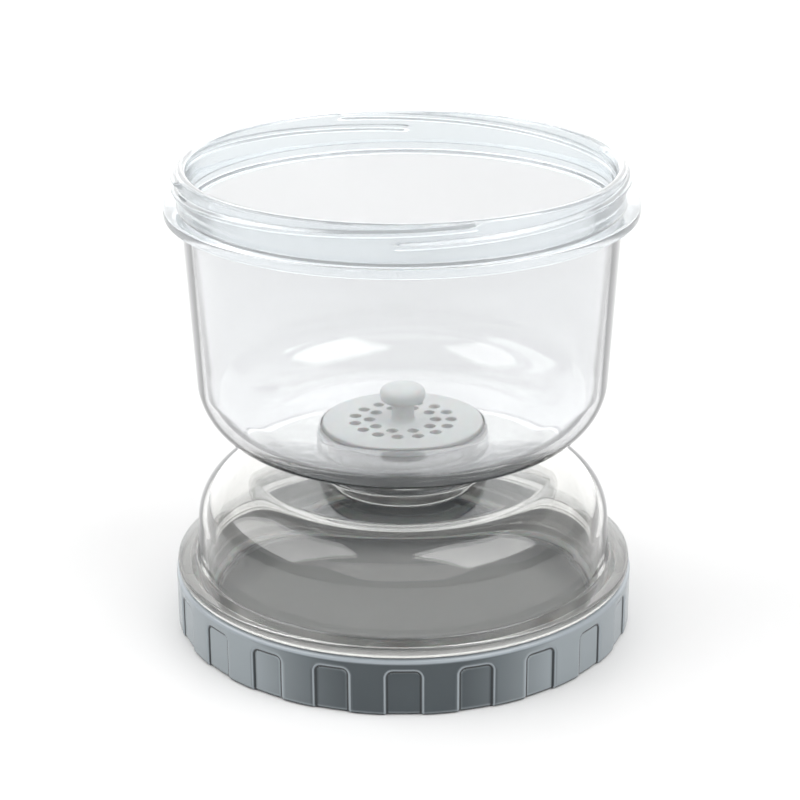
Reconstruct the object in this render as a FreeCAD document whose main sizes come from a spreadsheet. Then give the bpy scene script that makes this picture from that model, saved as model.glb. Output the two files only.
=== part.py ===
import FreeCAD, Part
import os
import Sketcher

# Hourglass pickle keeper.
#
# Two clear chambers stand mouth to mouth with their narrow ends together: the upper one is a
# tapered cup with a spout under its floor, and the lower one is a dome whose crown carries a
# collar that the spout screws into. A silicone ring seals the waist and a perforated strainer
# sits over the spout, so brine runs down and pickles stay up. Both chambers end in the same neck
# finish, a plain cylinder with a flange behind it. A screw lid closes the lower one and is the
# foot that the keeper stands on.
#
# All sizes are in millimetres. +Z is up, the axis of the keeper is Z, and the keeper stands on
# the plane Z = 0. Each piece is drawn about its own origin and placed by the stack of heights.

# ---------------------------------------------------------------------------------------------
# Driving dimensions: name, value and what it is
# ---------------------------------------------------------------------------------------------
DIMENSIONS = [
    # the neck finish, alike at both ends
    ("finish_radius", 53.6, "outer radius of either neck"),
    ("finish_height", 8.8, "from the lip to the flange"),
    ("flange_reach", 3.4, "how far the flange stands out of the neck"),
    ("flange_thickness", 2.6, "height of the flange"),
    ("lip_rounding", 0.9, "rounding of the lip, outside"),
    ("lip_inner_rounding", 0.6, "rounding of the lip, inside"),
    ("flange_rounding", 0.5, "rounding of the flange's edge"),
    ("wall", 2.2, "wall of both chambers"),
    # upper chamber
    ("upper_height", 68.4, "underside of the floor to the lip"),
    ("upper_step", 0.7, "how far the body lies inside the neck, under the flange"),
    ("upper_draft", 3.2, "how much narrower the body is at its floor"),
    ("upper_corner", 15.6, "rounding between body and floor, outside"),
    ("floor_thickness", 2.4, "floor of the upper chamber"),
    ("seat_ledge", 4.6, "width of the ledge that the strainer rests on"),
    ("seat_depth", 0.9, "how deep the ledge is sunk in the floor"),
    ("spout_bore", 15.8, "radius of the passage through the waist"),
    ("spout_wall", 2.2, "wall of the spout"),
    ("spout_length", 16.0, "how far the spout reaches under the floor"),
    ("spout_rounding", 0.5, "rounding of the spout's end"),
    # lower chamber
    ("lower_height", 34.7, "lip to the crown of the dome"),
    ("lower_step", 1.5, "how far the dome lies inside the neck, over the flange"),
    ("lower_draft", 1.5, "how much narrower the dome is at its crown"),
    ("lower_corner", 13.6, "rounding of the dome's shoulder, outside"),
    ("crown_thickness", 2.4, "crown of the dome"),
    ("collar_height", 6.8, "collar above the crown"),
    ("collar_wall", 2.4, "wall of the collar"),
    ("collar_root", 1.6, "rounding where the collar leaves the crown"),
    ("collar_rounding", 0.5, "rounding of the collar's top"),
    ("waist_thread_room", 1.2, "room for the thread between spout and collar"),
    # waist seal
    ("seal_thickness", 1.8, "height of the silicone ring in the waist"),
    ("seal_gap", 0.2, "play of that ring round the spout"),
    ("seal_setback", 0.3, "how far it lies inside the collar's edge"),
    ("seal_rounding", 0.3, "rounding of its edges"),
    # base lid
    ("thread_room", 1.7, "room for the thread between neck and lid"),
    ("lid_skirt", 2.2, "wall of the lid's skirt"),
    ("lid_plate", 2.2, "plate of the lid"),
    ("lid_recess", 1.6, "how deep the plate is sunk above the standing ring"),
    ("lid_gap", 0.3, "slit left between lid and flange when it is screwed home"),
    ("lid_rounding", 0.8, "rounding of the lid's outer edges"),
    ("stand_width", 3.5, "width of the ring that the keeper stands on"),
    ("bead_width", 1.2, "width of the bead that holds the gasket"),
    ("bead_height", 1.5, "height of that bead"),
    ("grip_depth", 0.5, "depth of a grip recess"),
    ("grip_width", 8.4, "width of a grip recess"),
    ("grip_rim", 2.7, "plain band left over the recesses"),
    ("grip_corner", 1.7, "rounding of a recess's upper corners"),
    ("grip_count", 21, "grip recesses round the lid"),
    # gasket in the lid
    ("gasket_thickness", 2.0, "height of the silicone ring in the lid"),
    ("gasket_width", 5.4, "width of that ring"),
    ("gasket_gap", 0.3, "its play against skirt and bead"),
    ("gasket_rounding", 0.4, "rounding of its edges"),
    # strainer
    ("strainer_gap", 0.4, "play of the strainer in its seat and in the spout"),
    ("strainer_plate", 1.6, "thickness of the perforated plate"),
    ("strainer_skirt", 5.0, "depth of the skirt that centres it in the spout"),
    ("strainer_wall", 1.6, "wall of that skirt"),
    ("strainer_rounding", 0.4, "rounding of the plate's and the skirt's edges"),
    ("hole_diameter", 3.0, "a drain hole"),
    ("inner_ring", 8.2, "radius of the inner ring of drain holes"),
    ("outer_ring", 12.0, "radius of the outer ring of drain holes"),
    ("inner_holes", 10, "drain holes in the inner ring"),
    ("outer_holes", 15, "drain holes in the outer ring"),
    ("stem_radius", 2.8, "stem of the lifting knob"),
    ("stem_height", 5.0, "height of the stem"),
    ("stem_root", 1.0, "rounding at the stem's foot"),
    ("knob_radius", 5.6, "head of the lifting knob"),
    ("knob_height", 4.0, "height of the head"),
    ("knob_rounding", 1.4, "rounding of the head"),
]


class Size:
    """A length and the sheet expression that gives it, so that both are written once."""

    def __init__(self, value, text):
        self.value = value
        self.text = text

    def joined(self, sign, other, value):
        return Size(value, "(" + self.text + " " + sign + " " + other.text + ")")

    def __add__(self, other):
        return self.joined("+", other, self.value + other.value)

    def __sub__(self, other):
        return self.joined("-", other, self.value - other.value)

    def __mul__(self, other):
        return self.joined("*", other, self.value * other.value)

    def __truediv__(self, other):
        return self.joined("/", other, self.value / other.value)

    def __neg__(self):
        return Size(-self.value, "(0 - " + self.text + ")")


class Sheet:
    """The sheet of driving dimensions, read by name."""

    def __init__(self, doc):
        self.cells = doc.addObject("Spreadsheet::Sheet", "sizes")
        for row, (alias, number, meaning) in enumerate(DIMENSIONS, start=1):
            self.cells.set("A" + str(row), meaning)
            self.cells.set("B" + str(row), str(number))
            self.cells.setAlias("B" + str(row), alias)
        doc.recompute()

    def __getattr__(self, alias):
        return Size(float(self.cells.get(alias)), "sizes." + alias)


ZERO = Size(0.0, "0")
TWO = Size(2.0, "2")


# ---------------------------------------------------------------------------------------------
# Sketches and features
# ---------------------------------------------------------------------------------------------
def new_body(doc, name, height):
    """A body with its own label, standing at the given height."""
    body = doc.addObject("PartDesign::Body", name)
    body.Label = name
    body.setExpression("Placement.Base.z", height.text)
    return body


def new_sketch(body, name, role):
    """An empty sketch on one of the body's own origin planes."""
    sketch = body.newObject("Sketcher::SketchObject", name)
    planes = [feature for feature in body.Origin.OriginFeatures if feature.Role == role]
    sketch.AttachmentSupport = (planes[0], [""])
    sketch.MapMode = "FlatFace"
    return sketch


def hold(sketch, kind, line, end, length):
    """Hold one end of a line at a distance from the sketch's origin."""
    if length.value == 0.0:
        axis = {"DistanceX": -2, "DistanceY": -1}[kind]
        sketch.addConstraint(Sketcher.Constraint("PointOnObject", line, end, axis))
        return
    number = sketch.addConstraint(Sketcher.Constraint(kind, -1, 1, line, end, length.value))
    sketch.setExpression("Constraints[" + str(number) + "]", length.text)


def closed_outline(body, name, corners):
    """A closed outline of straight sides through (radius, height) corners."""
    sketch = new_sketch(body, name, "XZ_Plane")
    points = [FreeCAD.Vector(radius.value, height.value, 0) for radius, height in corners]
    for start, end in zip(points, points[1:] + points[:1]):
        sketch.addGeometry(Part.LineSegment(start, end), False)
    for line, (radius, height) in enumerate(corners):
        following = (line + 1) % len(corners)
        sketch.addConstraint(Sketcher.Constraint("Coincident", line, 2, following, 1))
        hold(sketch, "DistanceX", line, 1, radius)
        hold(sketch, "DistanceY", line, 1, height)
    return sketch


def turned(body, name, corners):
    """The outline turned about the keeper's axis."""
    sketch = closed_outline(body, name + "_outline", corners)
    solid = body.newObject("PartDesign::Revolution", name)
    solid.Profile = sketch
    solid.ReferenceAxis = (sketch, ["V_Axis"])
    solid.Angle = 360.0
    body.Document.recompute()
    return solid


def rounded(body, name, radius, rings):
    """Round the circular edges that lie at the given (radius, height) places."""
    base = body.Tip
    names = []
    for number, edge in enumerate(base.Shape.Edges, start=1):
        if not isinstance(edge.Curve, Part.Circle):
            continue
        for ring_radius, height in rings:
            near_radius = abs(edge.Curve.Radius - ring_radius.value) < 1e-4
            if near_radius and abs(edge.Curve.Center.z - height.value) < 1e-4:
                names.append("Edge" + str(number))
    if len(names) != len(rings):
        raise RuntimeError(name + ": found " + str(len(names)) + " of " + str(len(rings)) + " edges")
    fillet = body.newObject("PartDesign::Fillet", name)
    fillet.Base = (base, names)
    fillet.setExpression("Radius", radius.text)
    body.Document.recompute()
    return fillet


def repeated_cut(body, name, cut, count):
    """Repeat a cut round the axis, and make sure that it takes material away."""
    before = cut.BaseFeature.Shape.Volume
    pattern = body.newObject("PartDesign::PolarPattern", name)
    pattern.Originals = [cut]
    axes = [feature for feature in body.Origin.OriginFeatures if feature.Role == "Z_Axis"]
    pattern.Axis = (axes[0], [""])
    pattern.Angle = 360.0
    pattern.setExpression("Occurrences", count.text)
    body.Tip = pattern
    body.Document.recompute()
    single = before - cut.Shape.Volume
    removed = before - pattern.Shape.Volume
    if single <= 0.0 or removed < 0.99 * single * count.value:
        raise RuntimeError(name + ": the cut misses the solid")
    return pattern


# ---------------------------------------------------------------------------------------------
# Sizes that several pieces share
# ---------------------------------------------------------------------------------------------
class Layout:
    """Radii and heights at which the pieces meet, all from the sheet."""

    def __init__(self, sheet):
        self.flange_radius = sheet.finish_radius + sheet.flange_reach
        # waist, from the passage outwards
        self.spout_radius = sheet.spout_bore + sheet.spout_wall
        self.collar_bore = self.spout_radius + sheet.waist_thread_room
        self.collar_radius = self.collar_bore + sheet.collar_wall
        self.seat_radius = sheet.spout_bore + sheet.seat_ledge
        # lid, from the neck outwards
        self.lid_inner = sheet.finish_radius + sheet.thread_room
        self.lid_radius = self.lid_inner + sheet.lid_skirt
        self.gasket_outer = self.lid_inner - sheet.gasket_gap
        self.gasket_inner = self.gasket_outer - sheet.gasket_width
        # stack of heights above the surface that the keeper stands on
        self.gasket_base = sheet.lid_recess + sheet.lid_plate
        self.lower_lip = self.gasket_base + sheet.gasket_thickness
        self.lid_height = self.lower_lip + sheet.finish_height - sheet.lid_gap
        self.seal_base = self.lower_lip + sheet.lower_height + sheet.collar_height
        self.upper_base = self.seal_base + sheet.seal_thickness
        self.strainer_base = self.upper_base + sheet.floor_thickness - sheet.seat_depth


# ---------------------------------------------------------------------------------------------
# Pieces
# ---------------------------------------------------------------------------------------------
def make_upper_chamber(doc, sheet, layout):
    """Tapered clear cup, open at the top, with a ledge and a spout at its floor."""
    body = new_body(doc, "upper_chamber", layout.upper_base)
    lip = sheet.upper_height
    flange_top = lip - sheet.finish_height
    flange_foot = flange_top - sheet.flange_thickness
    body_radius = sheet.finish_radius - sheet.upper_step
    foot_radius = body_radius - sheet.upper_draft
    slope = sheet.upper_draft / flange_foot
    lip_inner = body_radius - sheet.wall + slope * (lip - flange_foot)
    floor_inner = foot_radius - sheet.wall + slope * sheet.floor_thickness
    ledge = sheet.floor_thickness - sheet.seat_depth
    spout_end = -sheet.spout_length
    turned(body, "cup", [
        (sheet.spout_bore, spout_end),
        (layout.spout_radius, spout_end),
        (layout.spout_radius, ZERO),
        (foot_radius, ZERO),
        (body_radius, flange_foot),
        (layout.flange_radius, flange_foot),
        (layout.flange_radius, flange_top),
        (sheet.finish_radius, flange_top),
        (sheet.finish_radius, lip),
        (lip_inner, lip),
        (floor_inner, sheet.floor_thickness),
        (layout.seat_radius, sheet.floor_thickness),
        (layout.seat_radius, ledge),
        (sheet.spout_bore, ledge),
    ])
    rounded(body, "outer_corner", sheet.upper_corner, [(foot_radius, ZERO)])
    rounded(body, "inner_corner", sheet.upper_corner - sheet.wall, [(floor_inner, sheet.floor_thickness)])
    rounded(body, "lip_edge", sheet.lip_rounding, [(sheet.finish_radius, lip)])
    rounded(body, "mouth_edge", sheet.lip_inner_rounding, [(lip_inner, lip)])
    flange_edges = [(layout.flange_radius, flange_foot), (layout.flange_radius, flange_top)]
    rounded(body, "flange_edge", sheet.flange_rounding, flange_edges)
    spout_edges = [(sheet.spout_bore, spout_end), (layout.spout_radius, spout_end)]
    rounded(body, "spout_edge", sheet.spout_rounding, spout_edges)
    return body


def make_lower_chamber(doc, sheet, layout):
    """Clear dome, open at the bottom, with a collar on its crown for the spout."""
    body = new_body(doc, "lower_chamber", layout.lower_lip)
    flange_foot = sheet.finish_height
    flange_top = flange_foot + sheet.flange_thickness
    crown = sheet.lower_height
    crown_inside = crown - sheet.crown_thickness
    collar_top = crown + sheet.collar_height
    dome_radius = sheet.finish_radius - sheet.lower_step
    crown_radius = dome_radius - sheet.lower_draft
    slope = sheet.lower_draft / (crown - flange_top)
    lip_inner = dome_radius - sheet.wall + slope * flange_top
    crown_inner = crown_radius - sheet.wall + slope * sheet.crown_thickness
    turned(body, "dome", [
        (lip_inner, ZERO),
        (sheet.finish_radius, ZERO),
        (sheet.finish_radius, flange_foot),
        (layout.flange_radius, flange_foot),
        (layout.flange_radius, flange_top),
        (dome_radius, flange_top),
        (crown_radius, crown),
        (layout.collar_radius, crown),
        (layout.collar_radius, collar_top),
        (layout.collar_bore, collar_top),
        (layout.collar_bore, crown_inside),
        (crown_inner, crown_inside),
    ])
    rounded(body, "shoulder", sheet.lower_corner, [(crown_radius, crown)])
    rounded(body, "inner_shoulder", sheet.lower_corner - sheet.wall, [(crown_inner, crown_inside)])
    rounded(body, "collar_foot", sheet.collar_root, [(layout.collar_radius, crown)])
    collar_edges = [(layout.collar_radius, collar_top), (layout.collar_bore, collar_top)]
    rounded(body, "collar_edge", sheet.collar_rounding, collar_edges)
    rounded(body, "lip_edge", sheet.lip_rounding, [(sheet.finish_radius, ZERO)])
    rounded(body, "mouth_edge", sheet.lip_inner_rounding, [(lip_inner, ZERO)])
    flange_edges = [(layout.flange_radius, flange_foot), (layout.flange_radius, flange_top)]
    rounded(body, "flange_edge", sheet.flange_rounding, flange_edges)
    return body


def make_waist_seal(doc, sheet, layout):
    """Flat silicone ring between the collar and the floor of the upper chamber."""
    body = new_body(doc, "waist_seal", layout.seal_base)
    inner = layout.spout_radius + sheet.seal_gap
    outer = layout.collar_radius - sheet.seal_setback
    turned_ring(body, inner, outer, sheet.seal_thickness, sheet.seal_rounding)
    return body


def make_base_gasket(doc, sheet, layout):
    """Flat silicone ring in the lid, under the lip of the lower chamber."""
    body = new_body(doc, "base_gasket", layout.gasket_base)
    turned_ring(body, layout.gasket_inner, layout.gasket_outer, sheet.gasket_thickness, sheet.gasket_rounding)
    return body


def turned_ring(body, inner, outer, thickness, rounding):
    """A flat ring with all four edges rounded."""
    corners = [(inner, ZERO), (outer, ZERO), (outer, thickness), (inner, thickness)]
    turned(body, "ring", corners)
    rounded(body, "edges", rounding, corners)


def make_base_lid(doc, sheet, layout):
    """Screw lid, upside down: a sunk plate, a skirt round the neck and recesses for the grip."""
    body = new_body(doc, "base_lid", ZERO)
    stand_inner = layout.lid_radius - sheet.stand_width
    bead_outer = layout.gasket_inner - sheet.gasket_gap
    bead_inner = bead_outer - sheet.bead_width
    bead_top = layout.gasket_base + sheet.bead_height
    turned(body, "cap", [
        (stand_inner, ZERO),
        (layout.lid_radius, ZERO),
        (layout.lid_radius, layout.lid_height),
        (layout.lid_inner, layout.lid_height),
        (layout.lid_inner, layout.gasket_base),
        (bead_outer, layout.gasket_base),
        (bead_outer, bead_top),
        (bead_inner, bead_top),
        (bead_inner, layout.gasket_base),
        (ZERO, layout.gasket_base),
        (ZERO, sheet.lid_recess),
        (stand_inner, sheet.lid_recess),
    ])
    outer_edges = [(layout.lid_radius, ZERO), (layout.lid_radius, layout.lid_height)]
    rounded(body, "outer_edge", sheet.lid_rounding, outer_edges)
    recess = body.newObject("PartDesign::Pocket", "grip_recess")
    recess.Profile = grip_outline(body, sheet, layout)
    recess.Type = "Length"
    recess.Reversed = True
    recess.setExpression("Length", (sheet.grip_depth * TWO).text)
    doc.recompute()
    repeated_cut(body, "grip_recesses", recess, sheet.grip_count)
    return body


def grip_outline(body, sheet, layout):
    """A recess seen from in front: open below, with rounded upper corners."""
    sketch = new_sketch(body, "grip_outline", "XZ_Plane")
    sketch.setExpression("AttachmentOffset.Base.z", (layout.lid_radius - sheet.grip_depth).text)
    side = sheet.grip_width / TWO
    top = layout.lid_height - sheet.grip_rim
    foot = -sheet.grip_depth
    corner = sheet.grip_corner
    straight = top.value - corner.value
    inset = side.value - corner.value
    left_foot = FreeCAD.Vector(-side.value, foot.value, 0)
    left_top = FreeCAD.Vector(-side.value, straight, 0)
    top_left = FreeCAD.Vector(-inset, top.value, 0)
    top_right = FreeCAD.Vector(inset, top.value, 0)
    right_top = FreeCAD.Vector(side.value, straight, 0)
    right_foot = FreeCAD.Vector(side.value, foot.value, 0)
    across = corner.value * 0.5 ** 0.5
    left_middle = FreeCAD.Vector(-inset - across, straight + across, 0)
    right_middle = FreeCAD.Vector(inset + across, straight + across, 0)
    sides = [
        Part.LineSegment(left_foot, left_top),
        Part.Arc(left_top, left_middle, top_left),
        Part.LineSegment(top_left, top_right),
        Part.Arc(top_right, right_middle, right_top),
        Part.LineSegment(right_top, right_foot),
        Part.LineSegment(right_foot, left_foot),
    ]
    for geometry in sides:
        sketch.addGeometry(geometry, False)
    # An arc runs counter-clockwise in a sketch, so its first point is its right-hand end.
    left, left_arc, upper, right_arc, right, lower = range(len(sides))
    sketch.addConstraint(Sketcher.Constraint("Tangent", left, 2, left_arc, 2))
    sketch.addConstraint(Sketcher.Constraint("Tangent", left_arc, 1, upper, 1))
    sketch.addConstraint(Sketcher.Constraint("Tangent", upper, 2, right_arc, 2))
    sketch.addConstraint(Sketcher.Constraint("Tangent", right_arc, 1, right, 1))
    sketch.addConstraint(Sketcher.Constraint("Coincident", right, 2, lower, 1))
    sketch.addConstraint(Sketcher.Constraint("Coincident", lower, 2, left, 1))
    sketch.addConstraint(Sketcher.Constraint("Vertical", left))
    sketch.addConstraint(Sketcher.Constraint("Horizontal", upper))
    sketch.addConstraint(Sketcher.Constraint("Vertical", right))
    sketch.addConstraint(Sketcher.Constraint("Horizontal", lower))
    sketch.addConstraint(Sketcher.Constraint("Equal", left_arc, right_arc))
    rounding = sketch.addConstraint(Sketcher.Constraint("Radius", left_arc, corner.value))
    sketch.setExpression("Constraints[" + str(rounding) + "]", corner.text)
    hold(sketch, "DistanceX", left, 1, -side)
    hold(sketch, "DistanceX", right, 2, side)
    hold(sketch, "DistanceY", upper, 1, top)
    hold(sketch, "DistanceY", lower, 1, foot)
    return sketch


def make_strainer(doc, sheet, layout):
    """Perforated plate with a skirt that centres it in the spout and a knob to lift it by."""
    body = new_body(doc, "strainer", layout.strainer_base)
    plate_radius = layout.seat_radius - sheet.strainer_gap
    skirt_outer = sheet.spout_bore - sheet.strainer_gap
    skirt_inner = skirt_outer - sheet.strainer_wall
    skirt_end = -sheet.strainer_skirt
    plate_top = sheet.strainer_plate
    stem_top = plate_top + sheet.stem_height
    knob_top = stem_top + sheet.knob_height
    turned(body, "plate", [
        (ZERO, ZERO),
        (skirt_inner, ZERO),
        (skirt_inner, skirt_end),
        (skirt_outer, skirt_end),
        (skirt_outer, ZERO),
        (plate_radius, ZERO),
        (plate_radius, plate_top),
        (sheet.stem_radius, plate_top),
        (sheet.stem_radius, stem_top),
        (sheet.knob_radius, stem_top),
        (sheet.knob_radius, knob_top),
        (ZERO, knob_top),
    ])
    knob_edges = [(sheet.knob_radius, stem_top), (sheet.knob_radius, knob_top)]
    rounded(body, "knob_edge", sheet.knob_rounding, knob_edges)
    rounded(body, "stem_foot", sheet.stem_root, [(sheet.stem_radius, plate_top)])
    plate_edges = [(plate_radius, plate_top), (skirt_inner, skirt_end), (skirt_outer, skirt_end)]
    rounded(body, "plate_edge", sheet.strainer_rounding, plate_edges)
    drain_ring(body, sheet, "inner_drains", sheet.inner_ring, sheet.inner_holes)
    drain_ring(body, sheet, "outer_drains", sheet.outer_ring, sheet.outer_holes)
    return body


def drain_ring(body, sheet, name, ring_radius, count):
    """A ring of round holes through the plate."""
    sketch = new_sketch(body, name + "_outline", "XY_Plane")
    centre = FreeCAD.Vector(ring_radius.value, 0, 0)
    upwards = FreeCAD.Vector(0, 0, 1)
    sketch.addGeometry(Part.Circle(centre, upwards, sheet.hole_diameter.value / 2), False)
    hold(sketch, "DistanceX", 0, 3, ring_radius)
    hold(sketch, "DistanceY", 0, 3, ZERO)
    size = sketch.addConstraint(Sketcher.Constraint("Diameter", 0, sheet.hole_diameter.value))
    sketch.setExpression("Constraints[" + str(size) + "]", sheet.hole_diameter.text)
    hole = body.newObject("PartDesign::Pocket", name + "_hole")
    hole.Profile = sketch
    hole.Type = "Length"
    hole.Reversed = True
    hole.setExpression("Length", sheet.strainer_plate.text)
    body.Document.recompute()
    repeated_cut(body, name, hole, count)


# ---------------------------------------------------------------------------------------------
# Build, check and write
# ---------------------------------------------------------------------------------------------
def check(doc, bodies):
    """Stop if any object failed or any piece is not one valid solid."""
    for item in doc.Objects:
        if "Invalid" in item.State or "Error" in item.State:
            raise RuntimeError(item.Name + " failed: " + str(item.State))
    for body in bodies:
        if body.Shape.isNull() or not body.Shape.isValid() or len(body.Shape.Solids) != 1:
            raise RuntimeError(body.Label + " is not one valid solid")


def write(bodies):
    """Write each piece to a file of its own name."""
    os.makedirs("parts", exist_ok=True)
    for body in bodies:
        body.Shape.exportStep("parts/" + body.Label + ".step")
        box = body.Shape.BoundBox
        print(body.Label, "volume", round(body.Shape.Volume), "z", round(box.ZMin, 2), round(box.ZMax, 2))


def main():
    doc = FreeCAD.newDocument("pickle_keeper")
    sheet = Sheet(doc)
    layout = Layout(sheet)
    makers = [
        make_base_lid,
        make_base_gasket,
        make_lower_chamber,
        make_waist_seal,
        make_upper_chamber,
        make_strainer,
    ]
    bodies = [maker(doc, sheet, layout) for maker in makers]
    doc.recompute()
    check(doc, bodies)
    write(bodies)


main()
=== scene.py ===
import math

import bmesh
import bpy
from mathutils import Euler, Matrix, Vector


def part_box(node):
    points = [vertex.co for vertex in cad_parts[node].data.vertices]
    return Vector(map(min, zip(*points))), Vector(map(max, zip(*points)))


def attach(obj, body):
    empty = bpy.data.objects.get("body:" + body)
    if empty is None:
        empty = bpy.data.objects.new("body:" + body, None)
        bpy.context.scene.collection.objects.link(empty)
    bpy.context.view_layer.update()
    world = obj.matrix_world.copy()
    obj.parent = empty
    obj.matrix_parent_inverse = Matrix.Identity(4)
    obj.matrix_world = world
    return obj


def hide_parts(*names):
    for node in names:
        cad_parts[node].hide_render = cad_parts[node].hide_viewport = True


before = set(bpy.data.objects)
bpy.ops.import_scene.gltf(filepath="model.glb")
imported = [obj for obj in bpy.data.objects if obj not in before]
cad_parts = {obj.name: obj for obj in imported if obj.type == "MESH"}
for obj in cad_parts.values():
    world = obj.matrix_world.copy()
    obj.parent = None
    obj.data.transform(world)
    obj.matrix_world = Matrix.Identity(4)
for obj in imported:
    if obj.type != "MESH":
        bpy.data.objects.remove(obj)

# %% [markdown]
# # A pickle keeper shaped like an hourglass
#
# The keeper is two clear plastic chambers joined at a narrow waist. Pickles stay in the upper
# one and their brine drains through a strainer into the lower one. Nearly all of it is turned,
# so almost every piece here is one outline spun about the upright axis. What a spin alone can't
# give are the helical threads and the grip recesses of the lid, and those are pressed into the
# spun surface afterwards.
#
# All sizes are written in millimetres, as on a drawing. They are multiplied by MM where they go
# into a mesh, a light or a node, because Blender counts in metres.

MM = 0.001
UP = Vector((0.0, 0.0, 1.0))
CENTRE = Vector((0.0, 0.0, 0.0))


def in_mm(point):
    """A point in millimetres, rounded for printing."""
    return [round(value / MM, 1) for value in point]


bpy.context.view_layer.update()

# %% [markdown]
# ## An outline
#
# A lathe needs half of a section: a chain of points, each with its radius and height. Moulded
# plastic has no sharp corners, so a point may also carry the radius of its rounding. Bevelling
# the bare points of the chain, before anything is spun, gives true arcs for a fraction of the
# work of bevelling the finished solid. A quarter of a circle is about 1.6 times as long as its
# radius, which tells how many facets an arc needs. Straight stretches are then divided where
# fine relief has to be pressed into them.

# %% Outline
FACET = 0.55
ARC_PER_RADIUS = 1.6
FEWEST_FACETS = 3
TOUCH = 0.01


def rounding_reach(before, corner, after, radius):
    """How far from a corner its rounding begins, measured along the sides."""
    turn = (before - corner).angle(after - corner)
    return radius / math.tan(turn / 2.0)


def outline(points):
    """A closed chain of edges through (radius, height, rounding) points in millimetres."""
    bm = bmesh.new()
    verts = [bm.verts.new((radius * MM, 0.0, height * MM)) for radius, height, _ in points]
    places = [vert.co.copy() for vert in verts]
    for start, end in zip(verts, verts[1:] + verts[:1]):
        bm.edges.new((start, end))
    for index, (_, _, rounding) in enumerate(points):
        if rounding == 0.0:
            continue
        before, after = places[index - 1], places[(index + 1) % len(places)]
        reach = rounding_reach(before, places[index], after, rounding * MM)
        segments = max(FEWEST_FACETS, round(ARC_PER_RADIUS * rounding / FACET))
        bmesh.ops.bevel(bm, geom=[verts[index]], offset=reach, segments=segments, profile=0.5,
                        affect="VERTICES", material=-1)
    return bm


def divide(bm, low, high, spacing):
    """Cut the long sides that lie between two heights into short ones, all in millimetres."""
    for edge in bm.edges[:]:
        heights = sorted(vert.co.z / MM for vert in edge.verts)
        cuts = round(edge.calc_length() / MM / spacing) - 1
        inside = low - TOUCH <= heights[0] and heights[1] <= high + TOUCH
        if inside and cuts > 0 and heights[1] - heights[0] > spacing:
            bmesh.ops.subdivide_edges(bm, edges=[edge], cuts=cuts)


print("a rounding has a facet every", FACET, "mm, and never fewer than", FEWEST_FACETS)

# %% [markdown]
# ## A full turn
#
# The spin operator works as a lathe does. A point that lies on the axis stays where it is at
# every step, so its copies are merged and the faces that collapse there are taken out. A spin
# can also turn a shape inside out, and its normals are therefore worked out anew.

# %% Lathe
TURN_STEPS = 300
MERGE_DISTANCE = 1e-7
COLLAPSED_AREA = 1e-14


def lathe(bm, steps=TURN_STEPS):
    """Spin the chain once about the upright axis and point its faces outwards."""
    chain = bm.verts[:] + bm.edges[:]
    bmesh.ops.spin(bm, geom=chain, cent=CENTRE, axis=UP, dvec=CENTRE, angle=math.tau,
                   steps=steps, use_merge=True, use_duplicate=False)
    bmesh.ops.remove_doubles(bm, verts=bm.verts, dist=MERGE_DISTANCE)
    collapsed = [face for face in bm.faces if face.calc_area() < COLLAPSED_AREA]
    bmesh.ops.delete(bm, geom=collapsed, context="FACES")
    loose = [edge for edge in bm.edges if not edge.link_faces]
    bmesh.ops.delete(bm, geom=loose, context="EDGES")
    bmesh.ops.recalc_face_normals(bm, faces=bm.faces)
    return bm


print("a full turn has", TURN_STEPS, "steps of", 360.0 / TURN_STEPS, "degrees")

# %% [markdown]
# ## From mesh to piece
#
# A finished piece is smooth except where two faces meet at more than a certain angle. It rides
# on the body that it belongs to, and it stands for the solid whose node it replaces.

# %% Finished pieces
CREASE = 80.0


def finished(bm, name, material):
    """A smooth-shaded object made from the bmesh."""
    mesh = bpy.data.meshes.new(name)
    bm.to_mesh(mesh)
    open_edges = sum(1 for edge in bm.edges if not edge.is_manifold)
    bm.free()
    mesh.shade_smooth()
    mesh.set_sharp_from_angle(angle=math.radians(CREASE))
    mesh.materials.append(material)
    item = bpy.data.objects.new(name, mesh)
    bpy.context.scene.collection.objects.link(item)
    print(name, "has", len(mesh.polygons), "faces and", open_edges, "open edges")
    return item


def stand_for(item, node, body):
    """The item takes the place of a solid and moves with its body."""
    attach(item, body)
    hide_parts(node)


print("edges sharper than", CREASE, "degrees stay crisp")

# %% [markdown]
# ## Finishes
#
# Every finish starts from the real material. One function turns a hex colour, as a paint chart
# gives it, into the linear values that the shader wants. One more adds a node, sets it and links
# it, which keeps each recipe to a few readable lines.

# %% Colour and nodes
def colour(hex_value):
    """Linear RGBA for an sRGB hex colour such as "#8fa3b0"."""
    channels = [int(hex_value[start:start + 2], 16) / 255.0 for start in (1, 3, 5)]
    linear = [c / 12.92 if c <= 0.04045 else ((c + 0.055) / 1.055) ** 2.4 for c in channels]
    return (*linear, 1.0)


def new_material(name):
    """A material with its tree, its Principled shader and its object coordinates."""
    material = bpy.data.materials.new(name)
    material.use_nodes = True
    tree = material.node_tree
    shader = tree.nodes["Principled BSDF"]
    place = tree.nodes.new("ShaderNodeTexCoord").outputs["Object"]
    return material, tree, shader, place


def add(tree, kind, settings=None, values=None, links=None):
    """Add a node, set its properties and input values, and link its inputs."""
    node = tree.nodes.new(kind)
    for name, value in (settings or {}).items():
        setattr(node, name, value)
    for name, value in (values or {}).items():
        node.inputs[name].default_value = value
    for name, source in (links or {}).items():
        tree.links.new(source, node.inputs[name])
    return node


def per_metre(size):
    """The scale of a pattern whose features repeat every size millimetres."""
    return 1.0 / (size * MM)


def set_shader(shader, **values):
    """Set constant values on the shader's own sockets; an underscore stands for a space."""
    for name, value in values.items():
        shader.inputs[name.replace("_", " ")].default_value = value


print("middle grey is", round(colour("#808080")[0], 3), "in linear light")

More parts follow.
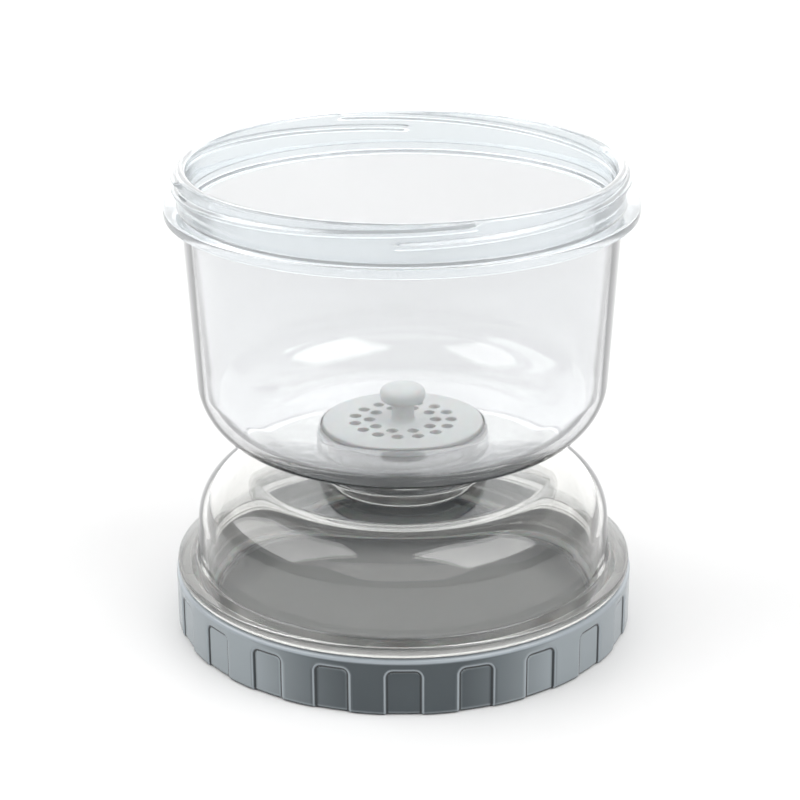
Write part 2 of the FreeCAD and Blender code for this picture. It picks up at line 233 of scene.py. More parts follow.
# %% [markdown]
# ## Clear moulded plastic: its colour
#
# The chambers are injection moulded from a clear copolyester. Washing leaves it hazy, and the
# neck and flange of each chamber more so than the rest, so haze follows the height. A hazy wall
# scatters the cool light of the room and looks a little bluer. Where the eye looks along a wall
# rather than through it, the colour is darkened: painted shade for the darker reflections and the
# longer path through the wall there, and haze hides part of it.

# %% Haze, tint and painted edge shade of a clear wall
HAZE_STEP = 0.6
CLEAR_HAZE = 0.05
FULL_HAZE = 0.2
EDGE_LEFT_BY_HAZE = 0.25
ALONG_STARTS = 0.73
ALONG_FULL = 0.79
EDGE_TINT = "#191a1c"


def haze_by_height(tree, place, low_haze, high_haze, change):
    """Haze that changes from its low to its high value round one height."""
    height = add(tree, "ShaderNodeSeparateXYZ", links={"Vector": place}).outputs["Z"]
    haze = add(tree, "ShaderNodeMapRange", links={"Value": height},
               values={"From Min": (change - HAZE_STEP) * MM, "From Max": (change + HAZE_STEP) * MM,
                       "To Min": low_haze, "To Max": high_haze})
    return haze.outputs["Result"]


def wall_colour(tree, haze, tint, haze_tint):
    """The tint of the wall, with painted shade along its edges."""
    cleared = add(tree, "ShaderNodeMapRange", links={"Value": haze},
                  values={"From Min": CLEAR_HAZE, "From Max": FULL_HAZE,
                          "To Min": 1.0, "To Max": EDGE_LEFT_BY_HAZE}).outputs["Result"]
    wall = add(tree, "ShaderNodeMix", settings={"data_type": "RGBA"}, links={"Factor": cleared})
    wall.inputs["A"].default_value = colour(haze_tint)
    wall.inputs["B"].default_value = colour(tint)
    # Painted shade: where the eye looks along the wall the colour is darkened, less so where the wall is
    # hazy.
    facing = add(tree, "ShaderNodeLayerWeight", values={"Blend": 0.5}).outputs["Facing"]
    along = add(tree, "ShaderNodeMapRange", links={"Value": facing},
                values={"From Min": ALONG_STARTS, "From Max": ALONG_FULL}).outputs["Result"]
    dark = add(tree, "ShaderNodeMath", settings={"operation": "MULTIPLY"}, links={0: along, 1: cleared})
    edged = add(tree, "ShaderNodeMix", settings={"data_type": "RGBA"},
                links={"Factor": dark.outputs["Value"], "A": wall.outputs["Result"]})
    edged.inputs["B"].default_value = colour(EDGE_TINT)
    return edged.outputs["Result"]


print("the edge of a clear wall darkens to", EDGE_TINT)

# %% [markdown]
# ## Clear moulded plastic: its surface
#
# Copolyester bends light like most plastics, with an index near 1.5. A polished mould leaves it
# glossy, but flow in the melt leaves a very faint waviness some centimetres across, and wiping
# leaves smears of slightly duller gloss. Haze is light that scatters in the wall instead of
# passing through, so that share is taken off the transmission and stays diffuse.

# %% Clear copolyester
PLASTIC_INDEX = 1.5
FLOW_SIZE = 28.0
FLOW_STRENGTH = 0.06
FLOW_DEPTH = 0.25
SMEAR_SIZE = 9.0
HAZE_BLUR = 0.4


def clear_plastic(name, tint, haze_tint, low_haze, high_haze, change):
    """Polished clear plastic: flow waviness, two zones of haze one above the other, painted shade along
    the edges.
    """
    material, tree, shader, place = new_material(name)
    haze = haze_by_height(tree, place, low_haze, high_haze, change)
    flow = add(tree, "ShaderNodeTexNoise", values={"Scale": per_metre(FLOW_SIZE), "Detail": 1.0},
               links={"Vector": place})
    wave = add(tree, "ShaderNodeBump", links={"Height": flow.outputs["Fac"]},
               values={"Strength": FLOW_STRENGTH, "Distance": FLOW_DEPTH * MM})
    smear = add(tree, "ShaderNodeTexNoise", values={"Scale": per_metre(SMEAR_SIZE), "Detail": 4.0},
                links={"Vector": place})
    polish = add(tree, "ShaderNodeMapRange", links={"Value": smear.outputs["Fac"]},
                 values={"From Min": 0.35, "From Max": 0.7, "To Min": 0.01, "To Max": 0.035})
    rough = add(tree, "ShaderNodeMath", settings={"operation": "MULTIPLY_ADD"},
                values={1: HAZE_BLUR}, links={0: haze, 2: polish.outputs["Result"]})
    clear = add(tree, "ShaderNodeMath", settings={"operation": "SUBTRACT"}, values={0: 1.0},
                links={1: haze})
    tree.links.new(wall_colour(tree, haze, tint, haze_tint), shader.inputs["Base Color"])
    tree.links.new(rough.outputs["Value"], shader.inputs["Roughness"])
    tree.links.new(wave.outputs["Normal"], shader.inputs["Normal"])
    tree.links.new(clear.outputs["Value"], shader.inputs["Transmission Weight"])
    set_shader(shader, IOR=PLASTIC_INDEX)
    print(name, "made")
    return material


clear_upper = clear_plastic("Clear moulded copolyester, cup", tint="#edeeef", haze_tint="#e8eef1",
                            low_haze=0.045, high_haze=0.2, change=106.0)
clear_lower = clear_plastic("Clear moulded copolyester, dome", tint="#eeeeec", haze_tint="#eeeeec",
                            low_haze=0.22, high_haze=0.03, change=16.0)

# %% [markdown]
# ## Grey polypropylene, silicone and natural polypropylene
#
# The lid is coloured polypropylene. Its mould is finely polished, which gives a satin gloss with
# a texture finer than the eye resolves; it is drawn at half a millimetre so that it shows as a
# slight breaking up of the highlights. The seals are translucent silicone, soft and a little
# dusty, and the strainer is uncoloured polypropylene, which is milky. In both of them light
# spreads a millimetre or so under the surface.

# %% Moulded polymers
CLOUD_SIZE = 14.0
GRAIN_DEPTH = 0.05


def moulded(name, dark, light, rough, grain, bump, index, **values):
    """Moulded polymer: a mottled colour, varying gloss and a fine mould texture."""
    material, tree, shader, place = new_material(name)
    cloud = add(tree, "ShaderNodeTexNoise", values={"Scale": per_metre(CLOUD_SIZE), "Detail": 5.0},
                links={"Vector": place}).outputs["Fac"]
    fine = add(tree, "ShaderNodeTexNoise", values={"Scale": per_metre(grain), "Detail": 2.0},
               links={"Vector": place}).outputs["Fac"]
    shade = add(tree, "ShaderNodeMix", settings={"data_type": "RGBA"}, links={"Factor": cloud})
    shade.inputs["A"].default_value = colour(dark)
    shade.inputs["B"].default_value = colour(light)
    gloss = add(tree, "ShaderNodeMapRange", links={"Value": cloud},
                values={"From Min": 0.3, "From Max": 0.7, "To Min": rough[0], "To Max": rough[1]})
    relief = add(tree, "ShaderNodeBump", links={"Height": fine},
                 values={"Strength": bump, "Distance": GRAIN_DEPTH * MM})
    tree.links.new(shade.outputs["Result"], shader.inputs["Base Color"])
    tree.links.new(gloss.outputs["Result"], shader.inputs["Roughness"])
    tree.links.new(relief.outputs["Normal"], shader.inputs["Normal"])
    set_shader(shader, IOR=index, **values)
    print(name, "made")
    return material


grey_lid = moulded("Grey moulded polypropylene", "#343b3f", "#3e464a",
                   rough=(0.14, 0.24), grain=0.5, bump=0.12, index=1.5)
silicone = moulded("Translucent moulded silicone", "#c9cdcc", "#d6d9d8",
                   rough=(0.45, 0.6), grain=0.8, bump=0.3, index=1.41,
                   Subsurface_Weight=0.3, Subsurface_Scale=1.0 * MM)
natural = moulded("Natural moulded polypropylene", "#c2c6c5", "#d0d3d2",
                  rough=(0.3, 0.42), grain=0.6, bump=0.25, index=1.49,
                  Subsurface_Weight=0.25, Subsurface_Scale=1.5 * MM)

# %% [markdown]
# ## Painted sheen, highlights and shade on the lid
#
# The raised edge of each grip recess and the rim of the lid get a paler colour, a painted
# highlight, and the corner at the foot of a recess gets a dark one, painted shade. The model knows
# where those edges are, because it presses the recesses in. It leaves the share of their depth on
# each point as an attribute named grip, 0 on a rib and 1 in a recess, with a small share along the
# rim, and two narrow bands of that share carry the two colours. Seen at a low angle the skirt is
# also painted paler, a painted sheen like that of satin plastic.

# %% Painted highlights, shade and sheen
UPRIGHT_FACES = (-0.5, -0.2, 0.2, 0.5)
RECESS_FOOT = (0.5, 0.62, 0.9, 0.99)
RUBBED_EDGE = (0.02, 0.12, 0.3, 0.48)
SHEEN_STARTS = 0.15
SHEEN_FULL = 0.34
SHEEN = 0.64


def band(tree, value, low, full, fade, high):
    """1 between full and fade, 0 below low and above high."""
    rise = add(tree, "ShaderNodeMapRange", links={"Value": value},
               values={"From Min": low, "From Max": full})
    fall = add(tree, "ShaderNodeMapRange", links={"Value": value},
               values={"From Min": high, "From Max": fade})
    both = add(tree, "ShaderNodeMath", settings={"operation": "MULTIPLY"},
               links={0: rise.outputs["Result"], 1: fall.outputs["Result"]})
    return both.outputs["Value"]


def lay_over(tree, shader, mask, hex_value):
    """Lay a colour over the shader's present one where the mask is 1."""
    present = shader.inputs["Base Color"].links[0].from_socket
    layer = add(tree, "ShaderNodeMix", settings={"data_type": "RGBA"},
                links={"Factor": mask, "A": present})
    layer.inputs["B"].default_value = colour(hex_value)
    tree.links.new(layer.outputs["Result"], shader.inputs["Base Color"])


def wear(material):
    """Paint a sheen, shade at the feet of the recesses and highlights on their edges and the rim."""
    tree = material.node_tree
    shader = tree.nodes["Principled BSDF"]
    grip = add(tree, "ShaderNodeAttribute", settings={"attribute_name": "grip"}).outputs["Fac"]
    facing = add(tree, "ShaderNodeLayerWeight", values={"Blend": 0.5}).outputs["Facing"]
    normal = add(tree, "ShaderNodeNewGeometry").outputs["Normal"]
    upward = add(tree, "ShaderNodeSeparateXYZ", links={"Vector": normal}).outputs["Z"]
    satin = add(tree, "ShaderNodeMapRange", links={"Value": facing},
                values={"From Min": SHEEN_STARTS, "From Max": SHEEN_FULL, "To Max": SHEEN})
    on_skirt = add(tree, "ShaderNodeMath", settings={"operation": "MULTIPLY"},
                   links={0: satin.outputs["Result"], 1: band(tree, upward, *UPRIGHT_FACES)})
    # Painted sheen: the upright skirt turns paler where it is seen at a low angle.
    lay_over(tree, shader, on_skirt.outputs["Value"], "#98a0a4")
    # Painted shade: a dark colour in the corner at the foot of each recess.
    lay_over(tree, shader, band(tree, grip, *RECESS_FOOT), "#1d2225")
    # Painted highlight: a paler colour along the raised edge of each recess and along the rim.
    lay_over(tree, shader, band(tree, grip, *RUBBED_EDGE), "#878e93")
    print(material.name, "has", len(tree.nodes), "nodes")


wear(grey_lid)

# %% [markdown]
# ## Heights and radii that the pieces share
#
# The solids already say where each piece begins and ends. Reading those heights keeps this
# model in step with them; only sizes that the boxes can't tell, such as a wall, are repeated.

# %% Shared sizes
def reach_of(node):
    """Largest radius, lowest and highest point of a solid, in millimetres."""
    low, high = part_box(node)
    return round(high[0] / MM, 3), round(low[2] / MM, 3), round(high[2] / MM, 3)


FLANGE_RADIUS, SPOUT_END, LIP = reach_of("upper_chamber")
_, LOWER_LIP, COLLAR_TOP = reach_of("lower_chamber")
LID_RADIUS, _, LID_TOP = reach_of("base_lid")
GASKET_OUTER, GASKET_LOW, GASKET_HIGH = reach_of("base_gasket")
SEAL_OUTER, SEAL_LOW, UPPER_FLOOR = reach_of("waist_seal")
STRAINER_RADIUS, STRAINER_LOW, STRAINER_TOP = reach_of("strainer")

NECK_RADIUS = 53.6
NECK_HEIGHT = 8.8
NECK_FILLET = 0.4
LIP_ROUNDING = 0.9
FLANGE_HEIGHT = 2.6
FLANGE_ROUNDING = 0.6
WALL = 2.2
FLOOR = 2.4
SPOUT_BORE = 15.8
SPOUT_RADIUS = SPOUT_BORE + WALL
COLLAR_BORE = SPOUT_RADIUS + 1.2
COLLAR_RADIUS = COLLAR_BORE + 2.4
print("lip at", LIP, "mm, waist from", COLLAR_TOP, "to", UPPER_FLOOR, "mm, lid radius", LID_RADIUS, "mm")

# %% [markdown]
# ## Threads
#
# A jar thread is a few short helical ridges. They could be swept along helices and united with
# the neck, but a union leaves a seam that shows as a dark hair in clear plastic. Raising the
# neck's own surface instead keeps it in one skin: a point near a ridge's path moves outwards by
# the ridge's height there. Each neck has four ridges that start a quarter turn apart and climb
# 12 mm a turn, so a lid needs less than a third of a turn. The waist has one ridge that climbs
# 6 mm a turn. The ridges of an inner thread lie half way between those of the outer one.

# %% Ridges
def ease(low, high, value):
    """0 below low, 1 above high and a smooth step between."""
    share = min(1.0, max(0.0, (value - low) / (high - low)))
    return share * share * (3.0 - 2.0 * share)


def azimuth(point):
    """Degrees counter-clockwise from the front, seen from above."""
    return math.degrees(math.atan2(point.x, -point.y)) % 360.0


RIDGE_END = 2.618


class Thread:
    """Helical ridges on a cylinder: where they run and how they are shaped."""

    def __init__(self, root, crest, first, lead, starts, sweep, foot_width, crest_width):
        self.root, self.crest = root, crest
        self.first, self.lead = first, lead
        self.starts, self.sweep = starts, sweep
        self.foot_width, self.crest_width = foot_width, crest_width
        self.fade = math.degrees(RIDGE_END / root)

    def share(self, point):
        """How much of its full height the ridge has at a point."""
        most = 0.0
        for start in range(self.starts):
            along = (azimuth(point) - 360.0 * start / self.starts) % 360.0 - 360.0
            while along <= self.sweep + self.fade:
                away = abs(point.z / MM - self.first - self.lead * along / 360.0)
                flank = 1.0 - ease(self.crest_width / 2.0, self.foot_width / 2.0, away)
                rise = ease(-self.fade, 0.0, along)
                fall = 1.0 - ease(self.sweep, self.sweep + self.fade, along)
                most = max(most, flank * rise * fall)
                along += 360.0
        return most


def press(bm, thread, low, high, inward=TOUCH):
    """Raise the ridges between two heights, on the thread's cylinder and a little way inward of it."""
    moved = 0
    for vert in bm.verts:
        radius = vert.co.xy.length / MM
        on_cylinder = thread.root - inward <= radius <= thread.root + TOUCH
        if not (on_cylinder and low <= vert.co.z / MM <= high):
            continue
        rise = (thread.crest - thread.root) * thread.share(vert.co)
        if rise != 0.0:
            vert.co.xy *= (radius + rise) / radius
            moved += 1
    print("thread on a radius of", round(thread.root, 2), "mm moved", moved, "points")


print("each end of a ridge fades over", round(RIDGE_END, 1), "mm")

# %% [markdown]
# ## Upper chamber
#
# A cup that narrows slightly towards its floor, so that it leaves the mould, with a flange that
# stops the lid and a spout that dips into the lower chamber. The ledge round the spout is where
# the strainer rests. The neck is divided into very fine rows, because a ridge is only two
# millimetres wide and climbs through them at a slant. The ridges stay clear of fillets and
# roundings, except at the lip, whose rounding they share.

# %% Where the threads run
JAR_LEAD = 12.0
JAR_STARTS = 4
NECK_CREST = 54.9
NECK_RIDGE = {"root": NECK_RADIUS, "crest": NECK_CREST, "lead": JAR_LEAD, "starts": JAR_STARTS,
              "foot_width": 2.0, "crest_width": 0.5}
UPPER_RIDGE = LIP - 4.9
upper_thread = Thread(first=UPPER_RIDGE, sweep=106.0, **NECK_RIDGE)

WAIST_LEAD = 6.0
WAIST_RIDGE = COLLAR_TOP - 8.5
spout_thread = Thread(root=SPOUT_RADIUS, crest=18.8, first=WAIST_RIDGE, lead=WAIST_LEAD, starts=1,
                      sweep=400.0, foot_width=1.9, crest_width=1.0)
print("ridges stand", round(NECK_CREST - NECK_RADIUS, 2), "mm out of the neck")

# %% Upper chamber
FLANGE_TOP = LIP - NECK_HEIGHT
FLANGE_FOOT = FLANGE_TOP - FLANGE_HEIGHT
CUP_TOP = (NECK_RADIUS - 0.7, FLANGE_FOOT)
CUP_FOOT = (CUP_TOP[0] - 3.2, UPPER_FLOOR)
CUP_CORNER = 15.6
FLOOR_TOP = UPPER_FLOOR + FLOOR
LEDGE = FLOOR_TOP - 0.9
LEDGE_RADIUS = SPOUT_BORE + 4.6
NECK_ROWS = 0.11
WAIST_ROWS = 0.3
CLEAR_OF_LIP = 0.05
CLEAR_OF_FILLET = 0.5
CLEAR_OF_ROUNDING = 0.6
LIP_BAND = 0.7


def inner_radius(start, end, height):
    """Inner radius of a wall whose outside runs straight through two (radius, height) points."""
    outer = start[0] + (end[0] - start[0]) * (height - start[1]) / (end[1] - start[1])
    return outer - WALL


cup = outline([
    (SPOUT_BORE, SPOUT_END, 0.5),
    (SPOUT_RADIUS, SPOUT_END, 0.5),
    (SPOUT_RADIUS, UPPER_FLOOR, 0.6),
    (CUP_FOOT[0], UPPER_FLOOR, CUP_CORNER),
    (CUP_TOP[0], FLANGE_FOOT, NECK_FILLET),
    (FLANGE_RADIUS, FLANGE_FOOT, FLANGE_ROUNDING),
    (FLANGE_RADIUS, FLANGE_TOP, FLANGE_ROUNDING),
    (NECK_RADIUS, FLANGE_TOP, NECK_FILLET),
    (NECK_RADIUS, LIP, LIP_ROUNDING),
    (inner_radius(CUP_TOP, CUP_FOOT, LIP), LIP, LIP_ROUNDING),
    (inner_radius(CUP_TOP, CUP_FOOT, FLOOR_TOP), FLOOR_TOP, CUP_CORNER - WALL),
    (LEDGE_RADIUS, FLOOR_TOP, 0.3),
    (LEDGE_RADIUS, LEDGE, 0.2),
    (SPOUT_BORE, LEDGE, 0.5),
])
divide(cup, FLANGE_TOP, LIP, NECK_ROWS)
divide(cup, SPOUT_END, UPPER_FLOOR, WAIST_ROWS)
lathe(cup)
press(cup, upper_thread, FLANGE_TOP + CLEAR_OF_FILLET, LIP - CLEAR_OF_LIP, inward=LIP_BAND)
press(cup, spout_thread, SPOUT_END + CLEAR_OF_ROUNDING, UPPER_FLOOR - CLEAR_OF_ROUNDING)
upper_cup = finished(cup, "upper_cup", clear_upper)
stand_for(upper_cup, "upper_chamber", "upper")

# %% [markdown]
# ## Lower chamber
#
# The same neck, turned over, under a shallow dome. The collar on the crown has the inner thread
# that the spout screws into, and a soft fillet where it leaves the crown.

# %% Lower chamber
CROWN = LOWER_LIP + 34.7
CROWN_INSIDE = CROWN - FLOOR
DOME_FLANGE_LOW = LOWER_LIP + NECK_HEIGHT
DOME_FLANGE_TOP = DOME_FLANGE_LOW + FLANGE_HEIGHT
DOME_FOOT = (NECK_RADIUS - 1.5, DOME_FLANGE_TOP)
DOME_TOP = (DOME_FOOT[0] - 1.5, CROWN)
DOME_CORNER = 13.6
LOWER_RIDGE = LOWER_LIP + 1.95
lower_thread = Thread(first=LOWER_RIDGE, sweep=100.0, **NECK_RIDGE)
collar_thread = Thread(root=COLLAR_BORE, crest=18.4, first=WAIST_RIDGE + WAIST_LEAD / 2.0,
                       lead=WAIST_LEAD, starts=1, sweep=200.0, foot_width=1.5, crest_width=0.8)

dome = outline([
    (inner_radius(DOME_FOOT, DOME_TOP, LOWER_LIP), LOWER_LIP, LIP_ROUNDING),
    (NECK_RADIUS, LOWER_LIP, LIP_ROUNDING),
    (NECK_RADIUS, DOME_FLANGE_LOW, NECK_FILLET),
    (FLANGE_RADIUS, DOME_FLANGE_LOW, FLANGE_ROUNDING),
    (FLANGE_RADIUS, DOME_FLANGE_TOP, FLANGE_ROUNDING),
    (DOME_FOOT[0], DOME_FLANGE_TOP, 0.7),
    (DOME_TOP[0], CROWN, DOME_CORNER),
    (COLLAR_RADIUS, CROWN, 1.6),
    (COLLAR_RADIUS, COLLAR_TOP, 0.5),
    (COLLAR_BORE, COLLAR_TOP, 0.5),
    (COLLAR_BORE, CROWN_INSIDE, 0.5),
    (inner_radius(DOME_FOOT, DOME_TOP, CROWN_INSIDE), CROWN_INSIDE, DOME_CORNER - WALL),
])
divide(dome, LOWER_LIP, DOME_FLANGE_LOW, NECK_ROWS)
divide(dome, CROWN_INSIDE, COLLAR_TOP, WAIST_ROWS)
lathe(dome)
press(dome, lower_thread, LOWER_LIP + CLEAR_OF_LIP, DOME_FLANGE_LOW - CLEAR_OF_FILLET, inward=LIP_BAND)
press(dome, collar_thread, CROWN_INSIDE + CLEAR_OF_ROUNDING, COLLAR_TOP - CLEAR_OF_ROUNDING)
lower_dome = finished(dome, "lower_dome", clear_lower)
stand_for(lower_dome, "lower_chamber", "lower")

# %% [markdown]
# ## Seals
#
# Two flat silicone rings. One lies in the lid under the lip of the lower chamber, the other on
# the collar at the waist. Both are plain rings with soft edges, so an outline of four points is
# all that they need.

# %% Rings
GASKET_WIDTH = 5.4
SEAL_INNER = SPOUT_RADIUS + 0.2


def ring(name, inner, outer, low, high, rounding):
    """A flat ring with rounded edges."""
    chain = outline([(inner, low, rounding), (outer, low, rounding),
                     (outer, high, rounding), (inner, high, rounding)])
    return finished(lathe(chain), name, silicone)


lid_gasket = ring("lid_gasket", GASKET_OUTER - GASKET_WIDTH, GASKET_OUTER, GASKET_LOW, GASKET_HIGH, 0.6)
stand_for(lid_gasket, "base_gasket", "base_ring")
waist_ring = ring("waist_ring", SEAL_INNER, SEAL_OUTER, SEAL_LOW, UPPER_FLOOR, 0.5)
stand_for(waist_ring, "waist_seal", "waist_ring")

# %% [markdown]
# ## Grip recesses
#
# The lid's skirt carries 21 grip recesses with rounded upper corners, open at the foot. Cutting
# them with a Boolean would leave hard edges to bevel, so they are pressed into the spun surface.
# The spin gets 22 columns for each recess. They are then drawn together where a recess has its
# edge, so the edge is crisp and the flat parts stay cheap.

# %% Columns of the skirt
GRIPS = 21
GRIP_PITCH = 360.0 / GRIPS
COLUMN_ANGLES = (0.0, 1.4, 2.4, 3.1, 3.55, 3.9, 4.2, 4.5, 4.85, 5.4, 6.7, 180.0 / GRIPS)
COLUMNS = 2 * (len(COLUMN_ANGLES) - 1)
SIDE = 90.0
ON_AXIS = 1e-9


def turned_to(point, degrees):
    """The point at the same height and radius, at another azimuth."""
    radius = point.xy.length
    angle = math.radians(degrees)
    return Vector((radius * math.sin(angle), -radius * math.cos(angle), point.z))


def gather_columns(bm):
    """Draw the columns of the spin, which begins at the side, together at the recesses' edges."""
    step = GRIP_PITCH / COLUMNS
    first = round(SIDE / step - 0.5)
    for vert in bm.verts:
        if vert.co.xy.length < ON_AXIS:
            continue
        column = round((azimuth(vert.co) - SIDE) / step) + first
        sector = round(column / COLUMNS)
        aside = column - sector * COLUMNS
        angle = math.copysign(COLUMN_ANGLES[abs(aside)], aside)
        vert.co = turned_to(vert.co, sector * GRIP_PITCH + angle)


print(GRIPS, "recesses with", COLUMNS, "columns each")

# %% Recesses
GRIP_HALF_WIDTH = 4.2
GRIP_TOP = LID_TOP - 2.7
GRIP_CORNER = 1.7
GRIP_DEPTH = 0.5
GRIP_SLOPE = 0.6
SKIRT_DEPTH = 1.0
RUBBED_RIM = 0.2


def grip_share(point):
    """1 in a recess, 0 on a rib, with a smooth edge between."""
    aside = (azimuth(point) + GRIP_PITCH / 2.0) % GRIP_PITCH - GRIP_PITCH / 2.0
    across = abs(math.radians(aside)) * LID_RADIUS - (GRIP_HALF_WIDTH - GRIP_CORNER)
    above = point.z / MM - (GRIP_TOP - GRIP_CORNER)
    if across > 0.0 and above > 0.0:
        outside = math.hypot(across, above) - GRIP_CORNER
    else:
        outside = max(across, above) - GRIP_CORNER
    return 1.0 - ease(-GRIP_SLOPE, GRIP_SLOPE, outside)


def press_grips(bm):
    """Press the recesses into the skirt and leave their share of depth on its points."""
    grip_layer = bm.verts.layers.float.new("grip")
    for vert in bm.verts:
        radius = vert.co.xy.length / MM
        if radius > LID_RADIUS - SKIRT_DEPTH:
            share = grip_share(vert.co)
            vert.co.xy *= (radius - GRIP_DEPTH * share) / radius
            # The rim gets a small share of grip too, which carries a painted highlight along it.
            vert[grip_layer] = share + RUBBED_RIM * ease(LID_TOP - 1.0, LID_TOP - 0.7, vert.co.z / MM)


print("recesses are", GRIP_DEPTH, "mm deep and", 2.0 * GRIP_HALF_WIDTH, "mm wide")

# %% [markdown]
# ## Screw lid
#
# Upside down it is the foot of the keeper: a plate, a standing ring round it and a skirt. On the
# plate lies the gasket, held by a low bead, and the skirt has the inner thread.

# %% Lid
LID_INNER = LID_RADIUS - 2.2
STAND_INNER = LID_RADIUS - 3.5
PLATE_LOW = 1.6
BEAD_OUTER = GASKET_OUTER - 5.7
BEAD_INNER = BEAD_OUTER - 1.2
BEAD_TOP = GASKET_LOW + 1.5
LID_ROWS = 0.36
lid_thread = Thread(root=LID_INNER, crest=54.1, first=LOWER_RIDGE + JAR_LEAD / JAR_STARTS / 2.0,
                    lead=JAR_LEAD, starts=JAR_STARTS, sweep=60.0, foot_width=1.4, crest_width=0.4)

lid = outline([
    (0.0, PLATE_LOW, 0.0),
    (STAND_INNER, PLATE_LOW, 0.4),
    (STAND_INNER, 0.0, 0.5),
    (LID_RADIUS, 0.0, 0.9),
    (LID_RADIUS, LID_TOP, 0.9),
    (LID_INNER, LID_TOP, 0.4),
    (LID_INNER, GASKET_LOW, 0.3),
    (BEAD_OUTER, GASKET_LOW, 0.2),
    (BEAD_OUTER, BEAD_TOP, 0.4),
    (BEAD_INNER, BEAD_TOP, 0.4),
    (BEAD_INNER, GASKET_LOW, 0.2),
    (0.0, GASKET_LOW, 0.0),
])
divide(lid, 0.0, LID_TOP, LID_ROWS)
lathe(lid, steps=GRIPS * COLUMNS)
gather_columns(lid)
press_grips(lid)
press(lid, lid_thread, GASKET_HIGH, LID_TOP - CLEAR_OF_ROUNDING)
screw_lid = finished(lid, "screw_lid", grey_lid)
stand_for(screw_lid, "base_lid", "base")

# %% [markdown]
# ## Strainer
#
# A perforated plate with a skirt that centres it in the spout and a knob to lift it by. The
# plate is turned, and the drain holes are drilled with a Boolean, as they don't follow the turn.
# The Boolean is applied at once, so that what is kept is a plain mesh.

# %% Drills
INNER_DRAINS = (10, 8.2)
OUTER_DRAINS = (15, 12.0)
DRAIN_RADIUS = 1.5
DRILL_LENGTH = 8.0
DRILL_SIDES = 28
DRILLED_CREASE = 35.0


def drills():
    """All drain holes as one mesh of round bars."""
    bm = bmesh.new()
    for count, ring_radius in (INNER_DRAINS, OUTER_DRAINS):
        for number in range(count):
            angle = math.tau * number / count
            centre = Vector((ring_radius * math.cos(angle), ring_radius * math.sin(angle), LEDGE)) * MM
            bmesh.ops.create_cone(bm, cap_ends=True, segments=DRILL_SIDES, radius1=DRAIN_RADIUS * MM,
                                  radius2=DRAIN_RADIUS * MM, depth=DRILL_LENGTH * MM,
                                  matrix=Matrix.Translation(centre))
    return finished(bm, "drills", natural)


def cut(item, cutter):
    """Take the cutter out of the item for good."""
    boolean = item.modifiers.new("cut", "BOOLEAN")
    boolean.object, boolean.operation, boolean.solver = cutter, "DIFFERENCE", "EXACT"
    bpy.context.view_layer.update()
    mesh = bpy.data.meshes.new_from_object(item.evaluated_get(bpy.context.evaluated_depsgraph_get()))
    item.modifiers.clear()
    item.data = mesh
    mesh.shade_smooth()
    mesh.set_sharp_from_angle(angle=math.radians(DRILLED_CREASE))
    bpy.data.objects.remove(cutter)


print("the strainer gets", INNER_DRAINS[0] + OUTER_DRAINS[0], "drain holes")

# %% Strainer
SKIRT_OUTER = SPOUT_BORE - 0.4
SKIRT_INNER = SKIRT_OUTER - 1.6
PLATE_TOP = LEDGE + 1.6
STEM_TOP = STRAINER_TOP - 4.0
STEM_RADIUS = 2.8
KNOB_RADIUS = 5.6
STRAINER_STEPS = 120

plate = outline([
    (0.0, LEDGE, 0.0),
    (SKIRT_INNER, LEDGE, 0.5),
    (SKIRT_INNER, STRAINER_LOW, 0.5),
    (SKIRT_OUTER, STRAINER_LOW, 0.5),
    (SKIRT_OUTER, LEDGE, 0.3),
    (STRAINER_RADIUS, LEDGE, 0.2),
    (STRAINER_RADIUS, PLATE_TOP, 0.5),
    (STEM_RADIUS, PLATE_TOP, 1.0),
    (STEM_RADIUS, STEM_TOP, 0.5),
    (KNOB_RADIUS, STEM_TOP, 1.4),
    (KNOB_RADIUS, STRAINER_TOP, 1.8),
    (0.0, STRAINER_TOP, 0.0),
])
lift_strainer = finished(lathe(plate, steps=STRAINER_STEPS), "lift_strainer", natural)
cut(lift_strainer, drills())
stand_for(lift_strainer, "strainer", "strainer_insert")
print("drilled, it has", len(lift_strainer.data.polygons), "faces")

# %% [markdown]
# ## Table
#
# A plain sheet of white matt paper, wide enough that its edge is far away. Its fibres are finer
# than the eye resolves; they are drawn 0.8 mm long, which gives the paper a faint tooth.

# %% Table
TABLE_HALF = 4000.0
FIBRE_SIZE = 0.8
FIBRE_DEPTH = 0.05


def matt_paper(name, hex_value):
    """White paper with a faint tooth."""
    material, tree, shader, place = new_material(name)
    fibre = add(tree, "ShaderNodeTexNoise", values={"Scale": per_metre(FIBRE_SIZE), "Detail": 3.0},
                links={"Vector": place})
    relief = add(tree, "ShaderNodeBump", links={"Height": fibre.outputs["Fac"]},
                 values={"Strength": 0.04, "Distance": FIBRE_DEPTH * MM})
    tree.links.new(relief.outputs["Normal"], shader.inputs["Normal"])
    set_shader(shader, Base_Color=colour(hex_value), Roughness=0.6)
    return material


sheet = bmesh.new()
bmesh.ops.create_grid(sheet, x_segments=1, y_segments=1, size=TABLE_HALF * MM)
table = finished(sheet, "table", matt_paper("White matt paper", "#cccccc"))

# %% [markdown]
# ## Light
#
# Clear plastic shows little but reflections, so it wants large soft lights and pale surroundings.
# Two boxes in front are placed for the streaks that they leave on the shoulder of the dome. A
# wide wall of light behind shines through both chambers. Three panels, far to the sides and in
# front, face down and keep the paper bright for views from elsewhere, and the world adds an even
# pale light that is a little stronger towards the back.

# %% Soft boxes
def soft_box(name, place, aim, width, height, brightness):
    """A rectangular area light that faces a point; places and sizes in millimetres."""
    light = bpy.data.lights.new(name, "AREA")
    light.shape, light.size, light.size_y = "RECTANGLE", width * MM, height * MM
    light.energy = brightness * math.pi * (width * MM) * (height * MM)
    lamp = bpy.data.objects.new(name, light)
    lamp.location = Vector(place) * MM
    lamp.rotation_euler = (Vector(aim) * MM - lamp.location).to_track_quat("-Z", "Y").to_euler()
    bpy.context.scene.collection.objects.link(lamp)
    print(name, "gives", round(light.energy, 1), "watts")


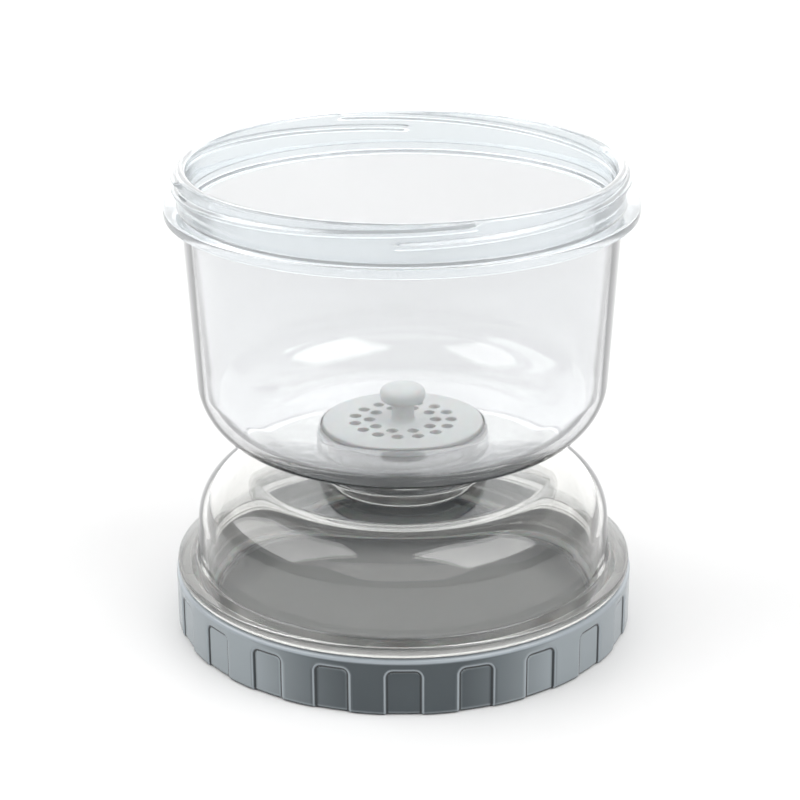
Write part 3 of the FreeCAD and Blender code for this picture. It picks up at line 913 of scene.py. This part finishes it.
AIM = (0.0, 0.0, 40.0)
WALL_HEIGHT = 650.0
PANEL_PLACE = 2300.0
PANEL_HEIGHT = 1000.0
PANEL_SIDE = 2800.0
soft_box("left_box", (-710.0, -20.0, 740.0), AIM, 1000.0, 900.0, 3.0)
soft_box("right_box", (540.0, -310.0, 820.0), AIM, 800.0, 800.0, 4.0)
soft_box("back_wall", (0.0, 1500.0, WALL_HEIGHT), (0.0, 0.0, WALL_HEIGHT), 4000.0, 2.0 * WALL_HEIGHT, 1.5)
for name, x, y, brightness in (("left_panel", -PANEL_PLACE, 0.0, 0.4),
                               ("right_panel", PANEL_PLACE, 0.0, 0.4),
                               ("front_panel", 0.0, -PANEL_PLACE, 0.8)):
    soft_box(name, (x, y, PANEL_HEIGHT), (x, y, 0.0), PANEL_SIDE, PANEL_SIDE, brightness)

# %% Surroundings
FRONT_GLOW = 0.6
BACK_GLOW = 0.7

world = bpy.data.worlds.new("studio")
world.use_nodes = True
sky = world.node_tree
direction = sky.nodes.new("ShaderNodeTexCoord").outputs["Generated"]
backward = add(sky, "ShaderNodeSeparateXYZ", links={"Vector": direction}).outputs["Y"]
glow = add(sky, "ShaderNodeMapRange", links={"Value": backward},
           values={"From Min": -0.5, "From Max": 0.3, "To Min": FRONT_GLOW, "To Max": BACK_GLOW})
background = sky.nodes["Background"]
background.inputs["Color"].default_value = colour("#ffffff")
sky.links.new(glow.outputs["Result"], background.inputs["Strength"])
bpy.context.scene.world = world
bpy.context.scene.view_settings.view_transform = "Standard"
print("the world shines with a strength of", FRONT_GLOW, "in front and", BACK_GLOW, "behind")

# %% [markdown]
# ## Camera
#
# The camera stands half a metre in front of the keeper and a quarter of a metre above the table,
# with a long lens, and looks down by 21 degrees. The small turns to the side and about the line
# of sight are those of a hand-set tripod.

# %% Camera
CAMERA_PLACE = (0.0, -499.81, 248.15)
LENS = 97.11
SENSOR = 36.0
LOOK_DOWN = 20.953
LOOK_LEFT = 0.0743
ROLL = -0.275

camera_data = bpy.data.cameras.new("camera")
camera_data.sensor_width = SENSOR
camera_data.lens = LENS
camera = bpy.data.objects.new("camera", camera_data)
camera.location = Vector(CAMERA_PLACE) * MM
pitched = Euler((math.radians(90.0 - LOOK_DOWN), 0.0, math.radians(LOOK_LEFT))).to_matrix()
rolled = pitched @ Matrix.Rotation(math.radians(ROLL), 3, "Z")
camera.rotation_euler = rolled.to_euler()
bpy.context.scene.collection.objects.link(camera)
bpy.context.scene.camera = camera
print("the camera stands at", in_mm(camera.location), "mm")
